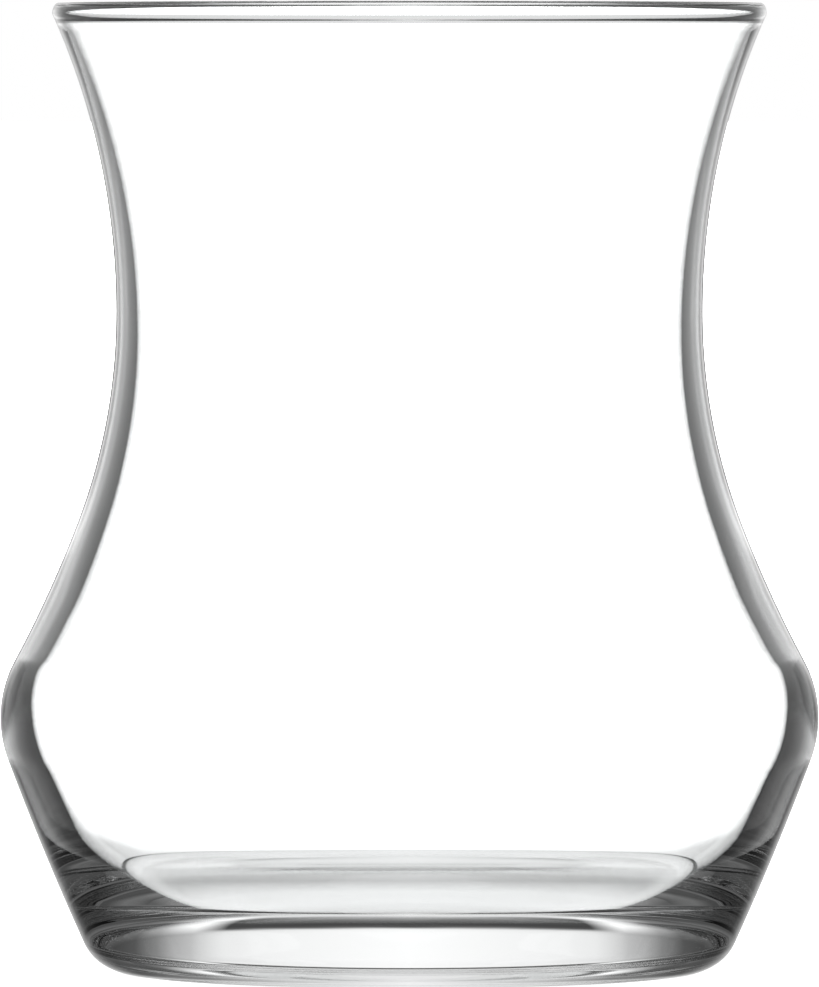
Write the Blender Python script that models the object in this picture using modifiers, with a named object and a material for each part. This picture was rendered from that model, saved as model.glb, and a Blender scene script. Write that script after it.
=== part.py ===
"""Waisted tea glass: one turned solid with a hollow for the drink.

The half section is a chain of tangent arcs. It starts at the middle of the inside floor,
climbs the inside wall, goes round the lip, comes down the outside and ends at the middle
of the underside. A Screw modifier turns it about the vertical axis.
The origin is the centre of the foot, on the surface the glass stands on.
"""
import math

import bpy

MM = 0.001

# Overall sizes
HEIGHT = 82.0 * MM
TURN_STEPS = 64
CHORD_ERROR = 0.03 * MM
MERGE_DISTANCE = 0.01 * MM

# Outside, from the waist
WAIST_RADIUS = 24.8 * MM
FLARE_RADIUS = 61.5 * MM
# Each arc is (radius, heading at its end), the heading in degrees outward from straight down
OUTSIDE_ARCS = {
    "hollow of the neck": (50.2 * MM, 20.9),
    "shoulder": (100.5 * MM, 28.2),
    "belly": (10.15 * MM, 0.0),
    "under the belly": (10.15 * MM, -20.5),
    "taper": (238.0 * MM, -24.5),
    "heel": (4.5 * MM, -90.0),
}

# Inside, from the waist
INSIDE_WAIST_RADIUS = 23.04 * MM
INSIDE_FLARE_RADIUS = 59.5 * MM
INSIDE_ARCS = {
    "hollow of the neck": (51.25 * MM, 26.0),
    "shoulder": (119.0 * MM, 29.0),
    "belly": (8.05 * MM, 0.0),
    "under the belly": (9.4 * MM, -23.2),
    "bowl": (197.0 * MM, -25.0),
    "lower bowl": (24.8 * MM, -40.0),
    "floor's edge": (3.0 * MM, -45.3),
    "corner": (0.4 * MM, -90.0),
}
FLOOR_THICKNESS = 6.95 * MM

# Lip
LIP_HEIGHT = 1.5 * MM
LIP_CREST = 0.85 * MM
LIP_SWELL_OUT = 0.24 * MM
LIP_SWELL_IN = 0.2 * MM
LIP_STEPS = 3
ROUND_HANDLE = 0.5523

# Foot
FOOT_WIDTH = 2.6 * MM
PUSH_UP = 0.5 * MM
PUSH_UP_STEPS = 7


def arc_steps(radius, turn):
    """Number of chords that keeps an arc of this turn, in radians, within CHORD_ERROR."""
    chord_turn = 2.0 * math.acos(1.0 - CHORD_ERROR / radius)
    return max(1, math.ceil(abs(turn) / chord_turn))


def follow_arcs(start, heading, arcs):
    """Points of tangent arcs that lead down from the start point; headings are in degrees."""
    points = [start]
    here = math.radians(heading)
    for radius, end_heading in arcs:
        end = math.radians(end_heading)
        side = 1.0 if end > here else -1.0
        r, z = points[-1]
        centre_r = r + side * radius * math.cos(here)
        centre_z = z + side * radius * math.sin(here)
        steps = arc_steps(radius, end - here)
        for step in range(1, steps + 1):
            angle = here + (end - here) * step / steps
            points.append((centre_r - side * radius * math.cos(angle),
                           centre_z - side * radius * math.sin(angle)))
        here = end
    return points


def raised(points, rise):
    """The points moved up by the rise."""
    return [(r, z + rise) for r, z in points]


def flare(waist, radius, top):
    """Points from the waist up to the top height, and the lean of the wall there in radians."""
    lean = math.asin((top - waist[1]) / radius)
    steps = arc_steps(radius, lean)
    points = []
    for step in range(1, steps + 1):
        angle = lean * step / steps
        points.append((waist[0] + radius * (1.0 - math.cos(angle)),
                       waist[1] + radius * math.sin(angle)))
    return points, lean


def bezier(start, first_handle, second_handle, end, steps):
    """Points of a cubic curve after its start."""
    points = []
    for step in range(1, steps + 1):
        t = step / steps
        weights = ((1 - t) ** 3, 3 * (1 - t) ** 2 * t, 3 * (1 - t) * t ** 2, t ** 3)
        corners = (start, first_handle, second_handle, end)
        points.append(tuple(sum(w * c[axis] for w, c in zip(weights, corners)) for axis in (0, 1)))
    return points


def wall_to_lip(wall_end, lean, lip_side):
    """Handles of the curve that swells a wall's end out to the side of the lip."""
    reach = (lip_side[1] - wall_end[1]) / 2.0
    wall_handle = (wall_end[0] + reach * math.sin(lean), wall_end[1] + reach * math.cos(lean))
    lip_handle = (lip_side[0], lip_side[1] - reach)
    return wall_handle, lip_handle


def lip(inner_end, inner_lean, outer_end, outer_lean):
    """Points over the rounded lip, from the inside wall's end to the outside wall's end."""
    side_z = HEIGHT - LIP_CREST
    inner_side = (inner_end[0] - LIP_SWELL_IN, side_z)
    outer_side = (outer_end[0] + LIP_SWELL_OUT, side_z)
    crest = ((inner_side[0] + outer_side[0]) / 2.0, HEIGHT)
    across = (crest[0] - inner_side[0]) * ROUND_HANDLE
    upward = LIP_CREST * ROUND_HANDLE
    wall_handle, side_handle = wall_to_lip(inner_end, inner_lean, inner_side)
    points = bezier(inner_end, wall_handle, side_handle, inner_side, LIP_STEPS)
    points += bezier(inner_side, (inner_side[0], side_z + upward),
                     (crest[0] - across, HEIGHT), crest, LIP_STEPS)
    points += bezier(crest, (crest[0] + across, HEIGHT),
                     (outer_side[0], side_z + upward), outer_side, LIP_STEPS)
    wall_handle, side_handle = wall_to_lip(outer_end, outer_lean, outer_side)
    points += bezier(outer_side, side_handle, wall_handle, outer_end, LIP_STEPS)
    return points


def inside_points():
    """Inside wall below the flare, from the waist down to the middle of the floor."""
    points = follow_arcs((INSIDE_WAIST_RADIUS, 0.0), 0.0, INSIDE_ARCS.values())
    points.append((0.0, points[-1][1]))
    return raised(points, FLOOR_THICKNESS - points[-1][1])


def outside_points():
    """Outside wall below the flare, from the waist down to the edge of the foot."""
    points = follow_arcs((WAIST_RADIUS, 0.0), 0.0, OUTSIDE_ARCS.values())
    return raised(points, -points[-1][1])


def underside_points(foot_radius):
    """Flat foot ring, then the shallow hollow that rises to the middle of the underside."""
    hollow_radius = foot_radius - FOOT_WIDTH
    points = [(hollow_radius, 0.0)]
    for step in range(1, PUSH_UP_STEPS + 1):
        share = step / PUSH_UP_STEPS
        rise = PUSH_UP * (1.0 - math.cos(math.pi * share)) / 2.0
        points.append((hollow_radius * (1.0 - share), rise))
    return points


def half_section():
    """The whole profile, from the middle of the floor round to the middle of the underside."""
    inside = inside_points()
    outside = outside_points()
    wall_top = HEIGHT - LIP_HEIGHT
    inner_flare, inner_lean = flare(inside[0], INSIDE_FLARE_RADIUS, wall_top)
    outer_flare, outer_lean = flare(outside[0], FLARE_RADIUS, wall_top)
    rim = lip(inner_flare[-1], inner_lean, outer_flare[-1], outer_lean)
    section = inside[::-1] + inner_flare + rim
    section += outer_flare[-2::-1] + outside
    return section + underside_points(outside[-1][0])


def glass_material():
    """Clear colourless soda-lime glass."""
    material = bpy.data.materials.new("clear_glass")
    material.use_nodes = True
    shader = material.node_tree.nodes["Principled BSDF"]
    shader.inputs["Base Color"].default_value = (0.95, 0.97, 0.965, 1.0)
    shader.inputs["Metallic"].default_value = 0.0
    shader.inputs["Roughness"].default_value = 0.02
    shader.inputs["IOR"].default_value = 1.52
    shader.inputs["Transmission Weight"].default_value = 1.0
    return material


def make_glass(collection):
    """The turned solid."""
    section = half_section()
    profile = bpy.data.meshes.new("glass")
    edges = [(index, index + 1) for index in range(len(section) - 1)]
    profile.from_pydata([(r, 0.0, z) for r, z in section], edges, [])
    profile.materials.append(glass_material())
    glass = bpy.data.objects.new("glass", profile)
    collection.objects.link(glass)
    turn = glass.modifiers.new("Turn", "SCREW")
    turn.axis = "Z"
    turn.angle = 2.0 * math.pi
    turn.steps = TURN_STEPS
    turn.render_steps = TURN_STEPS
    turn.use_merge_vertices = True
    turn.merge_threshold = MERGE_DISTANCE
    turn.use_smooth_shade = True
    return glass


for leftover in list(bpy.data.objects):
    bpy.data.objects.remove(leftover, do_unlink=True)

parts = bpy.data.collections.new("turkish_tea_glass")
bpy.context.scene.collection.children.link(parts)
make_glass(parts)
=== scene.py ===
"""Waisted tea glass, empty, on a lit white sheet.

The glass is drawn as a half section and spun about its axis. The studio is set for
bright-field lighting, as clear glass is usually shown: what is seen plainly or straight
through the walls is white, and light that is turned aside in the thick walls and base comes
from a light tent that is bright behind the glass and dark at its sides, which draws the
edges. Low down behind the glass the tent has a dark band, which draws the line under the
inside floor. The tent, the sheet and the room tell these kinds of light apart by how often
it was bent and reflected. The glass itself is plain glass.
"""
import math

import bpy
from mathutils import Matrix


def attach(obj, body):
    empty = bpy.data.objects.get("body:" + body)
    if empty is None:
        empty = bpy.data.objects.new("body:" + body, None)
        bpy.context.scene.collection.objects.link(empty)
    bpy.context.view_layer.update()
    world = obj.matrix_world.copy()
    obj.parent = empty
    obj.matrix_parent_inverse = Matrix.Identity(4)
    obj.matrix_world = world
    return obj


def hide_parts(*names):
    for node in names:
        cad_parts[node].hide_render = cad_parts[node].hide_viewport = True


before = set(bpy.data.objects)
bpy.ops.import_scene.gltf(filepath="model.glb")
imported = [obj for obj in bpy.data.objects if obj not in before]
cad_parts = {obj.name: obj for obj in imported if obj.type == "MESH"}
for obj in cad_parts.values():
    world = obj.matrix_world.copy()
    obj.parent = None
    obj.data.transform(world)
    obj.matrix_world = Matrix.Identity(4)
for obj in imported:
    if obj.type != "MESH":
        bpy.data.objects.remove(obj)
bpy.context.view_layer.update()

MM = 0.001

# Overall sizes, as in the solid that the piece stands for
HEIGHT = 82.0 * MM
TURN_STEPS = 288
CHORD_ERROR = 0.004 * MM
LONGEST_CHORD = 0.8 * MM
LARGEST_TURN = math.radians(3.0)
LEVEL_MARGIN = 0.15 * MM
MERGE_DISTANCE = 0.002 * MM

# Outside, from the waist
WAIST_RADIUS = 24.8 * MM
FLARE_RADIUS = 61.5 * MM
# Each arc is (radius, heading at its end), the heading in degrees outward from straight down
OUTSIDE_ARCS = {
    "hollow of the neck": (50.2 * MM, 20.9),
    "shoulder": (100.5 * MM, 28.2),
    "belly": (10.15 * MM, 0.0),
    "under the belly": (10.15 * MM, -20.5),
    "taper": (238.0 * MM, -24.5),
    "heel": (4.5 * MM, -90.0),
}

# Inside, from the waist
INSIDE_WAIST_RADIUS = 23.04 * MM
INSIDE_FLARE_RADIUS = 59.5 * MM
INSIDE_ARCS = {
    "hollow of the neck": (51.25 * MM, 26.0),
    "shoulder": (119.0 * MM, 29.0),
    "belly": (8.05 * MM, 0.0),
    "under the belly": (9.4 * MM, -23.2),
    "bowl": (197.0 * MM, -25.0),
    "lower bowl": (24.8 * MM, -40.0),
    "floor's edge": (3.0 * MM, -45.3),
    "corner": (0.4 * MM, -90.0),
}
FLOOR_THICKNESS = 6.95 * MM

# Lip
LIP_HEIGHT = 1.5 * MM
LIP_CREST = 0.85 * MM
LIP_SWELL_OUT = 0.24 * MM
LIP_SWELL_IN = 0.2 * MM
LIP_STEPS = 10
ROUND_HANDLE = 0.5523

# Foot
FOOT_WIDTH = 2.6 * MM
PUSH_UP = 0.5 * MM
PUSH_UP_STEPS = 28

# Relief of the glass surface
WAVE_LENGTH = 8.0 * MM
WAVE_DEPTH = 0.004 * MM

# Camera: its place comes from how round the lip, the inside floor and the foot look
CAMERA_DISTANCE = 1505.8 * MM
CAMERA_HEIGHT = 90.0 * MM
AIM_HEIGHT = 40.5 * MM
FOCAL_LENGTH_MM = 649.8
SENSOR_WIDTH_MM = 36.0
NEAREST_SEEN = 0.1
FARTHEST_SEEN = 50.0

# Counts between whole numbers of bends and reflections, to tell the kinds of light apart.
# One wall bends light twice and both walls four times
ONE_WALL_BENDS = 1.5
BOTH_WALLS_BENDS = 3.5
ANY_REFLECTION = 0.5
GLASS_BOUNCES = 32

# Light tent, an upright tube round the glass
TENT_RADIUS = 150.0 * MM
TENT_TOP = 420.0 * MM
TENT_BOTTOM = -600.0 * MM
TENT_SIDES = 96
# Brightness of its sides by height in millimetres, times that by degrees from straight
# behind, but all round no dimmer than the light that comes in over the top
SIDES_BY_HEIGHT = ((-110, 0.15), (-60, 0.2), (-25, 0.6), (-5, 0.7), (16, 0.6), (27, 1.05),
                   (38, 1.5), (60, 1.3), (90, 0.75), (240, 0.8))
SIDES_BY_ANGLE = ((18, 1.1), (22, 1.0), (26, 0.75), (30, 0.42), (36, 0.17), (45, 0.12),
                  (180, 0.06))
OVER_THE_TOP = ((150, 0.0), (240, 0.85))
# Straight behind the glass the cloth has a dark band that is taller away from the middle:
# brightness by height in the middle and at the band's ends, and the degrees between which
# the band gives way to the sides
BAND_MIDDLE_LIGHT = ((-110, 0.9), (-60, 0.8), (-25, 1.0), (11, 1.1), (16, 1.05), (19.5, 0.1),
                     (27, 0.06), (36, 0.15), (47, 0.45), (60, 0.9), (240, 0.85))
BAND_END_LIGHT = ((-110, 0.2), (-60, 0.2), (-25, 0.6), (11, 0.95), (16, 0.85), (22, 0.1),
                  (27, 0.06), (56, 0.1), (70, 0.75), (200, 0.8), (240, 0.85))
BAND_ENDS = (18, 23)
# Brightness by height for light that came straight through both walls, or through one wall
# to the cloth above ONE_WALL_HEIGHT
THROUGH_LIGHT = ((0, 3.5), (64, 3.2), (80, 1.6), (100, 0.8), (420, 0.8))
ONE_WALL_HEIGHT = 30.0

# Room beyond the tent, for light that was bent or reflected aside
ROOM_BRIGHTNESS = 0.6

# Lit sheet that the glass stands on, a hair below the foot
FLOOR_SIZE = 12.0
FLOOR_DROP = 0.02 * MM
# Painted light and shade: brightness of the sheet seen straight through both walls, which
# shades the inside floor: by depth in millimetres behind the axis, times that by distance in
# millimetres from the middle of the foot, dimmest under and near the foot as a painted shadow
FLOOR_PAINTED_LIGHT_BY_DEPTH = ((-24, 0.6), (-19.5, 0.6), (-18, 0.95), (-16, 1.2), (-12, 1.3), (-8, 1.05),
                  (-5, 0.82), (-2, 1.1), (3, 1.5), (12, 1.1), (24, 0.9), (27, 0.9), (30, 1.0))
FLOOR_PAINTED_SHADE_BY_REACH = ((30, 1.0), (36, 1.2), (44, 1.4), (64, 3.5))


def arc_steps(radius, turn):
    """Number of chords for an arc of this turn, in radians."""
    chord_turn = 2.0 * math.acos(1.0 - CHORD_ERROR / radius)
    chord_turn = min(chord_turn, LONGEST_CHORD / radius, LARGEST_TURN)
    return max(1, math.ceil(abs(turn) / chord_turn))


def follow_arcs(start, heading, arcs):
    """Points of tangent arcs that lead down from the start point; headings are in degrees."""
    points = [start]
    here = math.radians(heading)
    for radius, end_heading in arcs:
        end = math.radians(end_heading)
        side = 1.0 if end > here else -1.0
        r, z = points[-1]
        centre_r = r + side * radius * math.cos(here)
        centre_z = z + side * radius * math.sin(here)
        steps = arc_steps(radius, end - here)
        for step in range(1, steps + 1):
            angle = here + (end - here) * step / steps
            points.append((centre_r - side * radius * math.cos(angle),
                           centre_z - side * radius * math.sin(angle)))
        here = end
    return points


def raised(points, rise):
    """The points moved up by the rise."""
    return [(r, z + rise) for r, z in points]


def flare(waist, radius, top):
    """Points from the waist up to the top height, and the lean of the wall there in radians."""
    lean = math.asin((top - waist[1]) / radius)
    steps = arc_steps(radius, lean)
    points = []
    for step in range(1, steps + 1):
        angle = lean * step / steps
        points.append((waist[0] + radius * (1.0 - math.cos(angle)),
                       waist[1] + radius * math.sin(angle)))
    return points, lean


def bezier(start, first_handle, second_handle, end, steps):
    """Points of a cubic curve after its start."""
    points = []
    for step in range(1, steps + 1):
        t = step / steps
        weights = ((1 - t) ** 3, 3 * (1 - t) ** 2 * t, 3 * (1 - t) * t ** 2, t ** 3)
        corners = (start, first_handle, second_handle, end)
        points.append(tuple(sum(w * c[axis] for w, c in zip(weights, corners)) for axis in (0, 1)))
    return points


def wall_to_lip(wall_end, lean, lip_side):
    """Handles of the curve that swells a wall's end out to the side of the lip."""
    reach = (lip_side[1] - wall_end[1]) / 2.0
    wall_handle = (wall_end[0] + reach * math.sin(lean), wall_end[1] + reach * math.cos(lean))
    lip_handle = (lip_side[0], lip_side[1] - reach)
    return wall_handle, lip_handle


def lip(inner_end, inner_lean, outer_end, outer_lean):
    """Points over the fire-polished lip, from the inside wall's end to the outside wall's end."""
    side_z = HEIGHT - LIP_CREST
    inner_side = (inner_end[0] - LIP_SWELL_IN, side_z)
    outer_side = (outer_end[0] + LIP_SWELL_OUT, side_z)
    crest = ((inner_side[0] + outer_side[0]) / 2.0, HEIGHT)
    across = (crest[0] - inner_side[0]) * ROUND_HANDLE
    upward = LIP_CREST * ROUND_HANDLE
    wall_handle, side_handle = wall_to_lip(inner_end, inner_lean, inner_side)
    points = bezier(inner_end, wall_handle, side_handle, inner_side, LIP_STEPS)
    points += bezier(inner_side, (inner_side[0], side_z + upward),
                     (crest[0] - across, HEIGHT), crest, LIP_STEPS)
    points += bezier(crest, (crest[0] + across, HEIGHT),
                     (outer_side[0], side_z + upward), outer_side, LIP_STEPS)
    wall_handle, side_handle = wall_to_lip(outer_end, outer_lean, outer_side)
    points += bezier(outer_side, side_handle, wall_handle, outer_end, LIP_STEPS)
    return points


def level_run(start, end_radius):
    """Points inward along a level stretch, one close to each end to keep its shading flat."""
    radii = (start[0] - LEVEL_MARGIN, end_radius + LEVEL_MARGIN, end_radius)
    return [(radius, start[1]) for radius in radii]


def inside_points():
    """Inside wall below the flare, from the waist down to the middle of the floor."""
    points = follow_arcs((INSIDE_WAIST_RADIUS, 0.0), 0.0, INSIDE_ARCS.values())
    points += level_run(points[-1], 0.0)
    return raised(points, FLOOR_THICKNESS - points[-1][1])


def outside_points():
    """Outside wall below the flare, from the waist down to the edge of the foot."""
    points = follow_arcs((WAIST_RADIUS, 0.0), 0.0, OUTSIDE_ARCS.values())
    return raised(points, -points[-1][1])


def underside_points(foot_radius):
    """Flat foot ring, then the shallow hollow that rises to the middle of the underside."""
    hollow_radius = foot_radius - FOOT_WIDTH
    points = level_run((foot_radius, 0.0), hollow_radius)
    for step in range(1, PUSH_UP_STEPS + 1):
        share = step / PUSH_UP_STEPS
        rise = PUSH_UP * (1.0 - math.cos(math.pi * share)) / 2.0
        points.append((hollow_radius * (1.0 - share), rise))
    return points


def half_section():
    """The whole profile, from the middle of the floor round to the middle of the underside."""
    inside = inside_points()
    outside = outside_points()
    wall_top = HEIGHT - LIP_HEIGHT
    inner_flare, inner_lean = flare(inside[0], INSIDE_FLARE_RADIUS, wall_top)
    outer_flare, outer_lean = flare(outside[0], FLARE_RADIUS, wall_top)
    rim = lip(inner_flare[-1], inner_lean, outer_flare[-1], outer_lean)
    section = inside[::-1] + inner_flare + rim
    section += outer_flare[-2::-1] + outside
    return section + underside_points(outside[-1][0])


def linear(hex_colour):
    """An sRGB hex colour as linear red, green, blue and alpha."""
    channels = [int(hex_colour[i:i + 2], 16) / 255.0 for i in (1, 3, 5)]
    return [c / 12.92 if c <= 0.04045 else ((c + 0.055) / 1.055) ** 2.4 for c in channels] + [1.0]


def add_node(tree, kind, settings=None, values=None, links=None):
    """Adds a node to the tree with its settings, its socket values and the links into it."""
    node = tree.nodes.new(kind)
    for name, value in (settings or {}).items():
        setattr(node, name, value)
    for socket, value in (values or {}).items():
        node.inputs[socket].default_value = value
    for socket, source in (links or {}).items():
        tree.links.new(source, node.inputs[socket])
    return node


def stops_node(tree, stops, source):
    """A colour ramp through (position, grey) stops, read from low to high."""
    low = stops[0][0]
    share = add_node(tree, "ShaderNodeMapRange", {},
                     {"From Min": low, "From Max": stops[-1][0]}, {"Value": source})
    ramp = add_node(tree, "ShaderNodeValToRGB", {}, {}, {"Fac": share.outputs[0]})
    elements = ramp.color_ramp.elements
    while len(elements) < len(stops):
        elements.new(0.5)
    for element, (position, grey) in zip(elements, stops):
        element.position = (position - low) / (stops[-1][0] - low)
        element.color = (grey, grey, grey, 1.0)
    return ramp.outputs["Color"]


def maths(tree, operation, first, second=None):
    """A math node's result; each of the two may be a socket or a number."""
    node = tree.nodes.new("ShaderNodeMath")
    node.operation = operation
    for index, value in enumerate((first, second)):
        if isinstance(value, (int, float)):
            node.inputs[index].default_value = value
        elif value is not None:
            tree.links.new(value, node.inputs[index])
    return node.outputs[0]


def pressed_soda_lime_glass():
    """Clear pressed soda-lime glass, fire polished.

    Polishing leaves the surface smooth but very faintly wavy, so that the edges of the dark
    and light bands in the thick glass run a little unevenly instead of ruler-sharp.
    A trace of iron gives the thick glass of the base a very faint cool tinge.
    """
    material = bpy.data.materials.new("pressed_soda_lime_glass")
    material.use_nodes = True
    tree = material.node_tree
    shader = tree.nodes["Principled BSDF"]
    shader.inputs["Base Color"].default_value = linear("#FDFEFE")
    shader.inputs["Roughness"].default_value = 0.0
    shader.inputs["IOR"].default_value = 1.52
    shader.inputs["Transmission Weight"].default_value = 1.0
    place = add_node(tree, "ShaderNodeTexCoord")
    waves = add_node(tree, "ShaderNodeTexNoise", {}, {"Scale": 1.0 / WAVE_LENGTH, "Detail": 1.0},
                     {"Vector": place.outputs["Object"]})
    bump = add_node(tree, "ShaderNodeBump", {}, {"Distance": WAVE_DEPTH},
                    {"Height": waves.outputs["Fac"]})
    tree.links.new(bump.outputs["Normal"], shader.inputs["Normal"])
    return material


def start_piece(name):
    """Goes into edit mode on a new one-vertex piece at the origin."""
    bpy.ops.object.select_all(action="DESELECT")
    bpy.ops.mesh.primitive_plane_add(size=MM, location=(0.0, 0.0, 0.0))
    piece = bpy.context.active_object
    piece.name = name
    piece.data.name = name
    bpy.ops.object.mode_set(mode="EDIT")
    bpy.ops.mesh.select_all(action="SELECT")
    bpy.ops.mesh.merge(type="CENTER")
    return piece


def draw_and_spin(section):
    """Extrudes the one vertex along the section and spins it once round the axis."""
    bpy.ops.mesh.select_mode(type="VERT")
    bpy.ops.transform.translate(value=(section[0][0], 0.0, section[0][1]))
    for (r, z), (next_r, next_z) in zip(section, section[1:]):
        bpy.ops.mesh.extrude_region_move(
            TRANSFORM_OT_translate={"value": (next_r - r, 0.0, next_z - z)})
    bpy.ops.mesh.select_all(action="SELECT")
    bpy.ops.mesh.spin(steps=TURN_STEPS, angle=2.0 * math.pi,
                      center=(0.0, 0.0, 0.0), axis=(0.0, 0.0, 1.0))
    bpy.ops.mesh.select_all(action="SELECT")
    bpy.ops.mesh.remove_doubles(threshold=MERGE_DISTANCE)
    bpy.ops.mesh.normals_make_consistent(inside=False)
    bpy.ops.object.mode_set(mode="OBJECT")


def make_tea_glass():
    """The glass, from its half section."""
    glass = start_piece("tea_glass")
    draw_and_spin(half_section())
    bpy.ops.object.shade_smooth()
    glass.data.materials.append(pressed_soda_lime_glass())
    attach(glass, "root")
    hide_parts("glass")
    return glass


def came_through(tree, path, least_bends):
    """1 for light that reached the camera bent more often than this and never reflected."""
    bent_often = maths(tree, "GREATER_THAN", path.outputs["Transmission Depth"], least_bends)
    never_reflected = maths(tree, "LESS_THAN", path.outputs["Glossy Depth"], ANY_REFLECTION)
    return maths(tree, "MULTIPLY", bent_often, never_reflected)


def make_room():
    """The room: white where it is seen plainly or straight through a wall, otherwise dim."""
    world = bpy.data.worlds.new("studio")
    bpy.context.scene.world = world
    world.use_nodes = True
    tree = world.node_tree
    background = tree.nodes["Background"]
    background.inputs["Color"].default_value = linear("#FFFFFF")
    path = add_node(tree, "ShaderNodeLightPath")
    plain = maths(tree, "MAXIMUM", came_through(tree, path, ONE_WALL_BENDS),
                  path.outputs["Is Camera Ray"])
    strength = add_node(tree, "ShaderNodeMapRange", {},
                        {"To Min": ROOM_BRIGHTNESS, "To Max": 1.0}, {"Value": plain})
    tree.links.new(strength.outputs[0], background.inputs["Strength"])


def blend(tree, share, first, second):
    """The first value where the share is 0 and the second where it is 1."""
    mix = add_node(tree, "ShaderNodeMix", {"data_type": "FLOAT"}, {},
                   {"Factor": share, "A": first, "B": second})
    return mix.outputs[0]


def tent_brightness(tree, turn, height):
    """Brightness of the cloth at an angle from straight behind, in degrees, and a height."""
    sides = maths(tree, "MULTIPLY", stops_node(tree, SIDES_BY_HEIGHT, height),
                  stops_node(tree, SIDES_BY_ANGLE, turn))
    sides = maths(tree, "MAXIMUM", sides, stops_node(tree, OVER_THE_TOP, height))
    along = add_node(tree, "ShaderNodeMapRange", {}, {"From Max": BAND_ENDS[0]}, {"Value": turn})
    band = blend(tree, along.outputs[0], stops_node(tree, BAND_MIDDLE_LIGHT, height),
                 stops_node(tree, BAND_END_LIGHT, height))
    beside = add_node(tree, "ShaderNodeMapRange", {},
                      {"From Min": BAND_ENDS[0], "From Max": BAND_ENDS[1]}, {"Value": turn})
    return blend(tree, beside.outputs[0], band, sides)


def lit_tent_cloth():
    """White tent cloth lit from outside, so that the walls of the glass get dark edges.

    It is bright behind the glass, dark at its sides and in front, and brightest for light
    that came straight through. The camera looks past it.
    """
    material = bpy.data.materials.new("lit_tent_cloth")
    material.use_nodes = True
    tree = material.node_tree
    tree.nodes.remove(tree.nodes["Principled BSDF"])
    place = add_node(tree, "ShaderNodeTexCoord")
    parts = add_node(tree, "ShaderNodeSeparateXYZ", {}, {}, {0: place.outputs["Object"]})
    height = maths(tree, "DIVIDE", parts.outputs["Z"], MM)
    turn = maths(tree, "ARCTAN2", parts.outputs["X"], parts.outputs["Y"])
    turn = maths(tree, "DEGREES", maths(tree, "ABSOLUTE", turn))
    path = add_node(tree, "ShaderNodeLightPath")
    high_up = maths(tree, "GREATER_THAN", height, ONE_WALL_HEIGHT)
    fewer_bends = maths(tree, "MULTIPLY", high_up, ONE_WALL_BENDS - BOTH_WALLS_BENDS)
    least_bends = maths(tree, "ADD", fewer_bends, BOTH_WALLS_BENDS)
    strength = blend(tree, came_through(tree, path, least_bends),
                     tent_brightness(tree, turn, height),
                     stops_node(tree, THROUGH_LIGHT, height))
    cloth = add_node(tree, "ShaderNodeEmission", {}, {"Color": linear("#FFFFFF")},
                     {"Strength": strength})
    clear = add_node(tree, "ShaderNodeBsdfTransparent")
    mix = add_node(tree, "ShaderNodeMixShader", {}, {},
                   {0: path.outputs["Is Camera Ray"], 1: cloth.outputs[0], 2: clear.outputs[0]})
    tree.links.new(mix.outputs[0], tree.nodes["Material Output"].inputs["Surface"])
    return material


def make_tent():
    """The light tent, an open upright tube round the glass."""
    bpy.ops.object.select_all(action="DESELECT")
    bpy.ops.mesh.primitive_cylinder_add(vertices=TENT_SIDES, radius=TENT_RADIUS, depth=MM,
                                        end_fill_type="NOTHING", location=(0.0, 0.0, 0.0))
    tent = bpy.context.active_object
    tent.name = "light_tent"
    bpy.ops.object.mode_set(mode="EDIT")
    bpy.ops.mesh.select_all(action="SELECT")
    bpy.ops.transform.resize(value=(1.0, 1.0, (TENT_TOP - TENT_BOTTOM) / MM))
    bpy.ops.transform.translate(value=(0.0, 0.0, (TENT_TOP + TENT_BOTTOM) / 2.0))
    bpy.ops.object.mode_set(mode="OBJECT")
    tent.data.materials.append(lit_tent_cloth())


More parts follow.
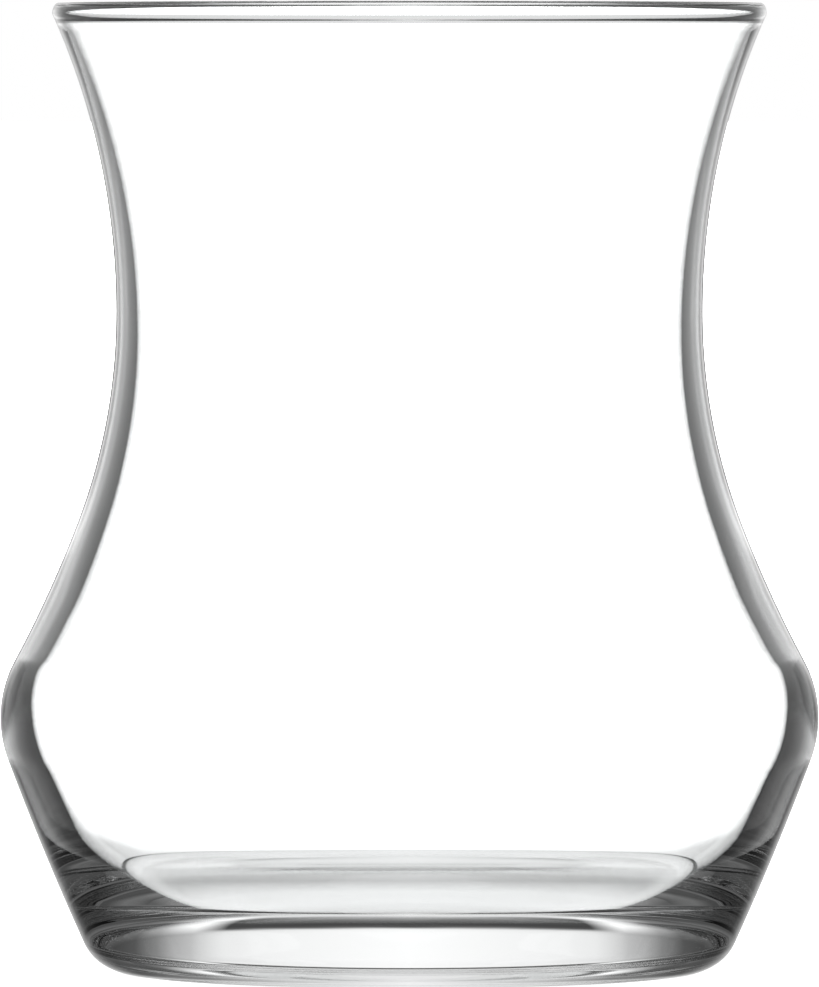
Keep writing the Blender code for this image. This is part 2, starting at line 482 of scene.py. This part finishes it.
def lit_opal_sheet():
    """Opal sheet lit from below, so that the glass stands in plain white.

    Seen straight through both walls its brightness is painted light and shade: brighter or
    dimmer from place to place, which shades the inside floor, and dimmest under and near the
    foot as a painted shadow. Light that is reflected in the glass passes through it.
    """
    material = bpy.data.materials.new("lit_opal_sheet")
    material.use_nodes = True
    tree = material.node_tree
    shader = tree.nodes["Principled BSDF"]
    shader.inputs["Base Color"].default_value = linear("#202020")
    shader.inputs["Emission Color"].default_value = linear("#FFFFFF")
    place = add_node(tree, "ShaderNodeTexCoord")
    reach = add_node(tree, "ShaderNodeVectorMath", {"operation": "LENGTH"}, {},
                     {0: place.outputs["Object"]})
    reach = maths(tree, "DIVIDE", reach.outputs["Value"], MM)
    parts = add_node(tree, "ShaderNodeSeparateXYZ", {}, {}, {0: place.outputs["Object"]})
    depth = maths(tree, "DIVIDE", parts.outputs["Y"], MM)
    path = add_node(tree, "ShaderNodeLightPath")
    through = came_through(tree, path, BOTH_WALLS_BENDS)
    to_camera = path.outputs["Is Camera Ray"]
    # Painted light and shade: seen through both walls the sheet is brighter or dimmer by depth,
    # and dimmest under and near the foot as a painted shadow
    strength = maths(tree, "MULTIPLY", stops_node(tree, FLOOR_PAINTED_LIGHT_BY_DEPTH, depth),
                     stops_node(tree, FLOOR_PAINTED_SHADE_BY_REACH, reach))
    strength = maths(tree, "MAXIMUM", strength, to_camera)
    tree.links.new(strength, shader.inputs["Emission Strength"])
    clear = add_node(tree, "ShaderNodeBsdfTransparent")
    mix = add_node(tree, "ShaderNodeMixShader", {}, {},
                   {0: maths(tree, "MAXIMUM", through, to_camera),
                    1: clear.outputs[0], 2: shader.outputs[0]})
    tree.links.new(mix.outputs[0], tree.nodes["Material Output"].inputs["Surface"])
    return material


def make_floor():
    """The sheet that the glass stands on."""
    bpy.ops.object.select_all(action="DESELECT")
    bpy.ops.mesh.primitive_plane_add(size=FLOOR_SIZE, location=(0.0, 0.0, 0.0))
    sheet = bpy.context.active_object
    sheet.name = "floor"
    bpy.ops.object.mode_set(mode="EDIT")
    bpy.ops.transform.translate(value=(0.0, 0.0, -FLOOR_DROP))
    bpy.ops.object.mode_set(mode="OBJECT")
    sheet.data.materials.append(lit_opal_sheet())


def make_camera():
    """A long lens a little above the lip, aimed at the middle of the glass."""
    camera = bpy.data.cameras.new("camera")
    holder = bpy.data.objects.new("camera", camera)
    bpy.context.scene.collection.objects.link(holder)
    bpy.context.scene.camera = holder
    camera.sensor_width = SENSOR_WIDTH_MM
    camera.lens = FOCAL_LENGTH_MM
    camera.clip_start = NEAREST_SEEN
    camera.clip_end = FARTHEST_SEEN
    pitch = math.atan((CAMERA_HEIGHT - AIM_HEIGHT) / CAMERA_DISTANCE)
    holder.location = (0.0, -CAMERA_DISTANCE, CAMERA_HEIGHT)
    holder.rotation_euler = (math.pi / 2.0 - pitch, 0.0, 0.0)


make_tea_glass()
make_floor()
make_tent()
make_room()
make_camera()
bpy.context.scene.view_settings.view_transform = "Standard"
# Light is reflected many times inside the thick base before it gets out
bpy.context.scene.cycles.max_bounces = GLASS_BOUNCES
bpy.context.scene.cycles.glossy_bounces = GLASS_BOUNCES
bpy.context.scene.cycles.transmission_bounces = GLASS_BOUNCES
